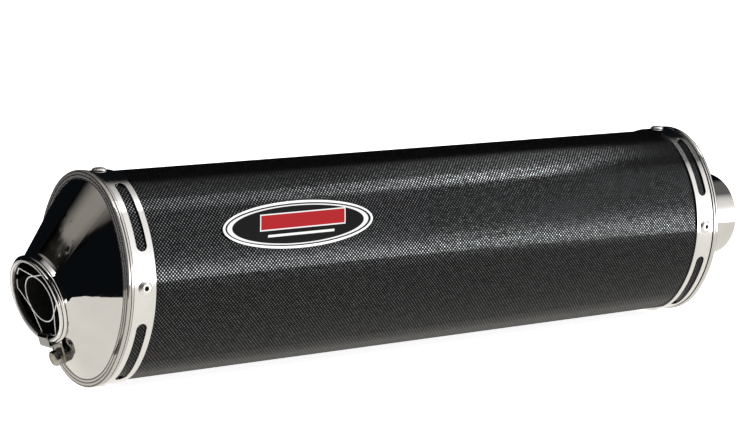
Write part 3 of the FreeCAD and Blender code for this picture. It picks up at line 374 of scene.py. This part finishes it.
def vane_colour(graph, vector):
    """Sooted sheet, light grey along its front edges."""
    depth = outlet_place(graph, vector)[0]
    patches = graph.span(graph.noise(vector, 180.0), 0.3, 0.7, 0.6, 1.2)
    soot = graph.toned(grey(0.015, 0.06), patches)
    return graph.mix(graph.step(depth, -1.15 * MM, -0.95 * MM), soot, grey(0.72, 0.02))


def tarnish(graph, vector):
    """Zinc plating gone brown in patches."""
    patches = graph.step(graph.noise(vector, 260.0), 0.35, 0.65)
    return graph.mix(patches, grey(0.42, 0.03), (0.30, 0.25, 0.19, 1.0))


def dark_tint(graph, vector):
    """Plain sheet, nearly black in patches of two dark tones."""
    patches = graph.step(graph.noise(vector, 120.0, 5.0), 0.3, 0.7)
    return graph.mix(patches, (0.16, 0.155, 0.15, 1.0), (0.09, 0.08, 0.07, 1.0))


def heat_tint(graph, vector):
    """Plain sheet dulled by heat, straw to brown."""
    patches = graph.step(graph.noise(vector, 70.0, 5.0), 0.3, 0.7)
    return graph.mix(patches, (0.34, 0.31, 0.27, 1.0), (0.24, 0.19, 0.15, 1.0))


def enamel():
    """Dark badge face with one plain slanted bar, a light outline and a pinstripe."""
    low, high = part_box("badge_plate")
    centre_along = (low.x + high.x) / 2
    material, graph = new_material("badge_enamel")
    vector = graph.coordinates()
    along = graph.math("DIVIDE", graph.math("SUBTRACT", graph.axes(vector)[0], centre_along), MM)
    middle = Vector((0, (low.y + high.y) / 2, (low.z + high.z) / 2))
    slope = math.atan2(middle.z, SIDE_CENTRE - middle.y)
    around = graph.math("DIVIDE", oval_arc(graph, vector), MM)
    around = graph.math("SUBTRACT", around, slope * SIDE_RADIUS / MM)
    slant = 0.3
    slanted = graph.math("SUBTRACT", along, graph.math("MULTIPLY", around, slant))

    def outside(value, middle, half):
        distance = graph.math("ABSOLUTE", graph.math("SUBTRACT", value, middle))
        return graph.math("SUBTRACT", distance, half)

    def box(half_length, half_height, shift_along, shift_around, soft=0.12):
        beyond = outside(slanted, shift_along, half_length)
        above = outside(around, shift_around, half_height)
        return graph.step(graph.math("MAXIMUM", beyond, above), soft, -soft)

    def oval(half_length, half_height, soft=0.012):
        shares = [graph.math("DIVIDE", along, half_length), graph.math("DIVIDE", around, half_height)]
        squares = [graph.math("MULTIPLY", share, share) for share in shares]
        return graph.step(graph.math("ADD", *squares), 1.0 + soft, 1.0 - soft)

    # all in millimetres; a light crescent is left between two ovals of different length
    black, white, red = grey(0.006), grey(0.72), (0.34, 0.012, 0.016, 1.0)
    face = graph.mix(oval(51.0, 11.7), black, white)
    face = graph.mix(oval(47.6, 11.0), face, black)
    face = graph.mix(box(31.0, 4.9, 3.0, 2.4), face, white)
    face = graph.mix(box(30.3, 4.2, 3.0, 2.4), face, red)
    face = graph.mix(box(24.0, 0.7, 2.0, -5.6), face, white)
    speckle = graph.noise(vector, 900.0, 2.0)
    shader = graph.node("BsdfPrincipled", {
        "Base Color": face,
        "Roughness": graph.span(speckle, 0.3, 0.7, 0.25, 0.35),
        "Specular IOR Level": 0.08,
        "Normal": graph.bump(speckle, 0.01 * MM, 0.4, graph.rounded(BADGE_EDGE))})
    graph.finish(shader.outputs[0])
    return material


def white_paint():
    """The badge's raised border: white paint, slightly orange-peeled."""
    material, graph = new_material("badge_silver")
    vector = graph.coordinates()
    peel = graph.noise(vector, 700.0, 3.0)
    shader = graph.node("BsdfPrincipled", {
        "Base Color": graph.mix(peel, grey(0.80), grey(0.88)),
        "Roughness": graph.span(peel, 0.3, 0.7, 0.28, 0.4),
        "Normal": graph.bump(peel, 0.02 * MM, 0.5, graph.rounded(BADGE_EDGE))})
    graph.finish(shader.outputs[0])
    return material


def fibre_wool(name, light, dark, strand, metallic):
    """Loose fibre: tangled strands in two tones, rough all over."""
    material, graph = new_material(name)
    vector = graph.coordinates()
    tangle = graph.noise(vector, 90.0, 2.0)
    bent = graph.node("VectorMath", {0: vector, 1: graph.stretched(tangle, (0.02, 0.02, 0.02))},
                      operation="ADD").outputs[0]
    strands = graph.noise(graph.stretched(bent, strand), 1.0, 5.0, 0.7)
    shader = graph.node("BsdfPrincipled", {
        "Base Color": graph.mix(graph.step(strands, 0.35, 0.65), dark, light),
        "Metallic": metallic,
        "Roughness": 0.75,
        "Normal": graph.bump(strands, 0.5 * MM, 0.8)})
    graph.finish(shader.outputs[0])
    return material


def build_materials():
    """One material for each slot of the record, and the finishes that single pieces have instead.

    The numbers of a steel are its tone, roughness, warmth, mark stretch, wear and mark depth in millimetres.
    """
    round_marks = (900.0, 60.0, 60.0)
    return {
        "carbon_weave": carbon(),
        "polished_strap": steel("polished_strap", 0.80, 0.08, 0.01, round_marks, 0.3, 0.0015),
        "rivet_steel": steel("rivet_steel", 0.86, 0.33, 0.01, (500.0, 500.0, 500.0), 0.3, 0.01),
        "pressed_steel": steel("pressed_steel", 0.60, 0.16, 0.02, round_marks, 0.3, 0.006),
        "mirror_steel": steel("mirror_steel", 0.66, 0.045, 0.015, (60.0, 160.0, 160.0), 0.4, 0.002),
        "cone_steel": steel("cone_steel", 0.66, 0.04, 0.015, (60.0, 160.0, 160.0), 0.3, 0.0008,
                            colour=rim_shade_lines, matt=rim_matt),
        "outlet_steel": steel("outlet_steel", 0.70, 0.10, 0.015, (120.0, 60.0, 60.0), 0.4, 0.002,
                              colour=soot_inside, matt=lip_matt),
        "collar_steel_painted_shade": steel("collar_steel_painted_shade", 0.70, 0.08, 0.015, (120.0, 60.0, 60.0), 0.4, 0.0015,
                              colour=collar_painted_shade),
        "boss_steel": steel("boss_steel", 0.14, 0.30, 0.05, round_marks, 0.3, 0.02, colour=dark_tint),
        # painted shade: the hook's steel is toned down to 0.34 so that its face reads as in shade
        "hook_steel_painted_shade": steel("hook_steel_painted_shade", 0.34, 0.22, 0.03, round_marks, 0.3, 0.01),
        "raw_steel": steel("raw_steel", 0.36, 0.38, 0.05, round_marks, 0.3, 0.02, colour=heat_tint),
        "insert_steel": steel("insert_steel", 0.5, 0.34, 0.03, (300.0, 300.0, 300.0), 0.3, 0.01,
                              colour=vane_colour, matt=0.5),
        "bolt_steel": steel("bolt_steel", 0.42, 0.28, 0.05, (400.0, 400.0, 400.0), 0.4, 0.02,
                            colour=tarnish),
        "badge_enamel": enamel(),
        "badge_silver": white_paint(),
        "steel_wool": fibre_wool("steel_wool", grey(0.62), grey(0.12), (500.0, 2500.0, 2500.0), 0.9),
        "glass_wool": fibre_wool("glass_wool", (0.85, 0.80, 0.60, 1.0), (0.55, 0.50, 0.32, 1.0),
                                 (200.0, 1500.0, 1500.0), 0.0),
    }


# ---------------------------------------------------------------- loose fibre pieces

def oval_point(turn, inset):
    """Point (y, z) of the sleeve's oval moved inwards, at a normal angle measured from +Y."""
    folded = abs(math.atan2(math.sin(turn), math.cos(turn)))
    folded = min(folded, math.pi - folded)
    if folded <= ARC_JOINT:
        radius = SIDE_RADIUS - inset
        y = radius * math.cos(folded) - SIDE_CENTRE
        z = radius * math.sin(folded)
    else:
        radius = END_RADIUS - inset
        y = radius * math.cos(folded)
        z = END_CENTRE + radius * math.sin(folded)
    y = math.copysign(y, math.cos(turn))
    z = math.copysign(z, math.sin(turn))
    return y, z


PACKING_INSET = 3.4 * MM      # from the sleeve's outside to the packing
WRAP_INSET = 0.1 * MM         # from the wrap's CAD outside to its fibre


def lump_depth(point, lump, grain):
    """How far the surface sinks at a point: broad lumps with finer ones on them."""
    sample = point / grain
    broad = 0.5 + 0.5 * noise.noise(sample)
    fine = abs(noise.noise(sample * 3.1))
    return lump * broad + lump * 0.4 * fine


def bridge(mesh, first, second, flip):
    """A strip of faces between two rings of the same length."""
    count = len(first)
    for j in range(count):
        k = (j + 1) % count
        corners = [first[j], first[k], second[k], second[j]]
        mesh.faces.new(corners[::-1] if flip else corners)


def wool_tube(name, node, outline, bore, lump, grain):
    """A thick tube of fibre along X, closed at both ends, with a lumpy outside."""
    low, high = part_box(node)
    around, along = 144, 120
    lengthwise = 0.35  # lumps are drawn out along the tube
    mesh = bmesh.new()
    outer, inner = [], []
    for i in range(along + 1):
        x = low.x + (high.x - low.x) * i / along
        outer_ring, inner_ring = [], []
        for j in range(around):
            turn = 2 * math.pi * j / around
            y, z = outline(turn)
            sink = lump_depth(Vector((x * lengthwise, y, z)), lump, grain)
            keep = 1 - sink / math.hypot(y, z)
            outer_ring.append(mesh.verts.new((x, y * keep, z * keep)))
            inner_ring.append(mesh.verts.new((x, bore * math.cos(turn), bore * math.sin(turn))))
        outer.append(outer_ring)
        inner.append(inner_ring)
    for i in range(along):
        bridge(mesh, outer[i], outer[i + 1], False)
        bridge(mesh, inner[i], inner[i + 1], True)
    bridge(mesh, outer[0], inner[0], True)
    bridge(mesh, outer[-1], inner[-1], False)
    bmesh.ops.recalc_face_normals(mesh, faces=mesh.faces)
    data = bpy.data.meshes.new(name)
    mesh.to_mesh(data)
    mesh.free()
    data.polygons.foreach_set("use_smooth", [True] * len(data.polygons))
    piece = bpy.data.objects.new(name, data)
    bpy.context.scene.collection.objects.link(piece)
    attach(piece, "can")
    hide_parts(node)
    return piece


# ---------------------------------------------------------------- studio
# Each panel is a corner with a side and a rise. They stand where the steel and the lacquer mirror them:
# the front panel in the badge's side, the top panel in the shoulder and the fill panel in the cone.

WHITE = (1.0, 0.985, 0.96, 1.0)
WARM = (1.07, 1.0, 0.90, 1.0)
FRONT_CORNER, FRONT_SIDE, FRONT_RISE = (0.20, -1.39, -0.45), (0.95, 0.95, 0), (0, 0, 2.4)
TOP_CORNER, TOP_SIDE, TOP_RISE = (-0.75, -0.52, 0.9), (2.0, 0, 0), (0, 0.99, 0)
FILL_CORNER = (-2.1, -0.47, 0.9)
FILL_SIDE = 1.3
FILL_RISE = 1.6
# the fill panel's lit part ends at x = FILL_EDGE + FILL_LEAN * y
FILL_EDGE = -1.448
FILL_LEAN = 0.30
# the part of the floor that the steel and the lacquer mirror; the dark room lies beyond it
TABLE_OUTLINE = [(-0.95, 0.057), (0.165, -0.870), (0.165, 0.3), (-0.57, 0.075)]
ROOM_LIGHT = 1.25             # what matt surfaces get from all round
DARK_ROOM = (0.6, 0.8, 1.0, 1.0)
DARK_LEVEL = 0.006            # what polished surfaces see beyond the panels


def plane_piece(name, corners, material):
    """A flat sheet through corner points, not part of the object."""
    data = bpy.data.meshes.new(name)
    data.from_pydata([tuple(corner) for corner in corners], [], [tuple(range(len(corners)))])
    sheet = bpy.data.objects.new(name, data)
    sheet.data.materials.append(material)
    bpy.context.scene.collection.objects.link(sheet)
    return sheet


def only_reflected(sheet):
    """Leave a sheet to be seen in reflections alone."""
    sheet.visible_camera = False
    sheet.visible_shadow = False
    sheet.visible_diffuse = False


def panel(name, corner, side, rise, colour, strength):
    """A soft light panel from one corner along two edges; strength turns its two shares into radiance."""
    material, graph = new_material(name)
    offset = graph.node("VectorMath", {0: graph.coordinates(), 1: Vector(corner)}, operation="SUBTRACT")
    shares = []
    for edge in (Vector(side), Vector(rise)):
        shares.append(graph.dot(offset.outputs[0], edge / edge.length_squared))
    light = graph.node("Emission", {"Color": colour, "Strength": strength(graph, *shares)})
    graph.finish(light.outputs[0])
    corner, side, rise = Vector(corner), Vector(side), Vector(rise)
    corners = [corner, corner + side, corner + side + rise, corner + rise]
    sheet = plane_piece(name, corners, material)
    only_reflected(sheet)
    return sheet


def glow(graph, share, base, peak, length):
    """Base plus a peak at share 0 that fades over length."""
    share = graph.math("MAXIMUM", share, 0.0)
    fade = graph.math("EXPONENT", graph.math("MULTIPLY", share, -1.0 / length))
    return graph.math("MULTIPLY_ADD", fade, peak, base)


def front_strength(graph, across, up):
    """A bright strip along the bottom that fades upwards, and the whole panel dimmer to the inlet's side."""
    light = glow(graph, graph.math("SUBTRACT", up, 0.19), 0.95, 4.0, 0.05)
    light = graph.math("MULTIPLY", light, graph.span(across, 0.0, 0.5, 1.25, 1.0))
    return graph.math("MULTIPLY", light, graph.step(across, 1.0, 0.70))


def top_strength(graph, along, across):
    """Brightest along its front edge; a dim stretch past its end shows in the inlet tube."""
    light = glow(graph, across, 0.85, 5.5, 0.17)
    end = graph.step(along, 0.75, 0.725)
    lengthwise = graph.math("MULTIPLY", graph.span(along, 0.52, 0.72, 0.55, 1.8), end)
    light = graph.math("MULTIPLY", light, lengthwise)
    dim = graph.math("MULTIPLY", graph.step(along, 0.73, 0.76), 0.16)
    return graph.math("MULTIPLY", graph.math("ADD", light, dim), graph.step(across, 1.0, 0.62))


def fill_strength(graph, along, across):
    """A dim sheet with one straight slanted side, which ends the cone's reflection part of the way down."""
    start = FILL_CORNER[1] * FILL_LEAN + FILL_EDGE - FILL_CORNER[0]
    slant = graph.math("MULTIPLY_ADD", across, FILL_RISE * FILL_LEAN, start)
    beyond = graph.math("SUBTRACT", graph.math("MULTIPLY", along, FILL_SIDE), slant)
    edge = graph.step(beyond, -0.006, 0.006)
    level = graph.math("MULTIPLY", graph.step(across, -0.1, 0.34), graph.step(across, 1.0, 0.5))
    light = graph.math("MULTIPLY", graph.math("MULTIPLY", edge, level), 0.31)
    return graph.math("ADD", light, graph.math("MULTIPLY", level, 0.012))


def table_material():
    """White sheet, warm in the reflections, and darker under the object as painted shade."""
    material, graph = new_material("warm_sheet")
    vector = graph.coordinates()
    grain = graph.noise(vector, 400.0)
    # painted shade: the sheet is darkened towards y = 0, under the object
    under = graph.span(graph.axes(vector)[1], -0.80, -0.10, 0.76, 0.64)
    tone = graph.mix(grain, (0.80, 0.775, 0.72, 1.0), (0.82, 0.795, 0.74, 1.0))
    shader = graph.node("BsdfPrincipled", {
        "Base Color": graph.toned(tone, under),
        "Roughness": 0.7,
        "Specular IOR Level": 0.1,
        "Normal": graph.bump(grain, 0.05 * MM, 0.3)})
    graph.finish(shader.outputs[0])
    return material


def floor_material():
    """Pale floor that stays nearly white in the object's shadow."""
    material, graph = new_material("pale_floor")
    grain = graph.noise(graph.coordinates(), 400.0)
    shader = graph.node("BsdfPrincipled", {
        "Base Color": graph.mix(grain, grey(0.80), grey(0.82)),
        "Roughness": 0.8,
        "Specular IOR Level": 0.0,
        "Emission Color": (1.0, 1.0, 1.0, 1.0),
        "Emission Strength": 0.85,
        "Normal": graph.bump(grain, 0.05 * MM, 0.3)})
    graph.finish(shader.outputs[0])
    return material


def build_studio():
    """The floor, the sheet that is mirrored in its place, the three panels and the room."""
    floor_height = cad_low.z - 0.2 * MM
    reach = 6.0
    corners = [(-reach, -reach, floor_height), (reach, -reach, floor_height),
               (reach, reach, floor_height), (-reach, reach, floor_height)]
    floor = plane_piece("floor", corners, floor_material())
    floor.visible_glossy = False
    table = plane_piece("table", [(x, y, floor_height) for x, y in TABLE_OUTLINE], table_material())
    only_reflected(table)
    panel("front_panel", FRONT_CORNER, FRONT_SIDE, FRONT_RISE, WHITE, front_strength)
    panel("top_panel", TOP_CORNER, TOP_SIDE, TOP_RISE, WHITE, top_strength)
    panel("fill_panel", FILL_CORNER, (FILL_SIDE, 0, 0), (0, FILL_RISE, 0), WARM, fill_strength)
    build_room()


def build_room():
    """A bright room for matt surfaces; polished ones see it dark."""
    world = bpy.data.worlds.new("studio")
    bpy.context.scene.world = world
    world.use_nodes = True
    graph = Graph(world.node_tree)
    ray = graph.node("LightPath")
    room = graph.node("Background", {"Color": (1.0, 1.0, 1.0, 1.0), "Strength": ROOM_LIGHT})
    dark = graph.node("Background", {"Color": DARK_ROOM, "Strength": DARK_LEVEL})
    mixed = graph.node("MixShader", {0: ray.outputs["Is Glossy Ray"], 1: room.outputs[0], 2: dark.outputs[0]})
    graph.finish(mixed.outputs[0], "World")


CAMERA_ANGLES = (-38.711, 7.91, 0.696)  # azimuth from -Y, elevation and roll, in degrees
CAMERA_TARGET = (-0.29201, 0.00176, 0.01512)
CAMERA_DISTANCE = 1.5542
CAMERA_LENS = 121.992


def build_camera():
    """The view on the badge and the outlet, from a little above."""
    azimuth, elevation, roll = (math.radians(angle) for angle in CAMERA_ANGLES)
    target = Vector(CAMERA_TARGET)
    back = Vector((math.sin(azimuth) * math.cos(elevation),
                   -math.cos(azimuth) * math.cos(elevation), math.sin(elevation)))
    data = bpy.data.cameras.new("camera")
    data.lens = CAMERA_LENS
    data.sensor_width = 36.0
    camera = bpy.data.objects.new("camera", data)
    camera.location = target + back * CAMERA_DISTANCE
    camera.rotation_mode = "QUATERNION"
    camera.rotation_quaternion = back.to_track_quat("Z", "Y") @ Quaternion((0, 0, 1), roll)
    bpy.context.scene.collection.objects.link(camera)
    bpy.context.scene.camera = camera


# ---------------------------------------------------------------- assembly

def assign(piece, material):
    """One material on a whole piece."""
    piece.data.materials.clear()
    piece.data.materials.append(material)


def main():
    materials = build_materials()
    slots = {row["node"]: row["material_slot"] for row in frame["record"]["subparts"]}
    for name, piece in NODES.items():
        assign(piece, materials[FINISHES.get(name, slots[name])])

    packing = wool_tube("glass_packing", "packing_wool", lambda turn: oval_point(turn, PACKING_INSET),
                        bore=28.3 * MM, lump=1.6 * MM, grain=9 * MM)
    assign(packing, materials["glass_wool"])
    wrap_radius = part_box("steel_wool_wrap")[1].y - WRAP_INSET
    wrap = wool_tube("steel_wool_layer", "steel_wool_wrap",
                     lambda turn: (wrap_radius * math.cos(turn), wrap_radius * math.sin(turn)),
                     bore=25.2 * MM, lump=0.8 * MM, grain=3 * MM)
    assign(wrap, materials["steel_wool"])

    build_studio()
    build_camera()
    bpy.context.scene.view_settings.view_transform = "Standard"


main()
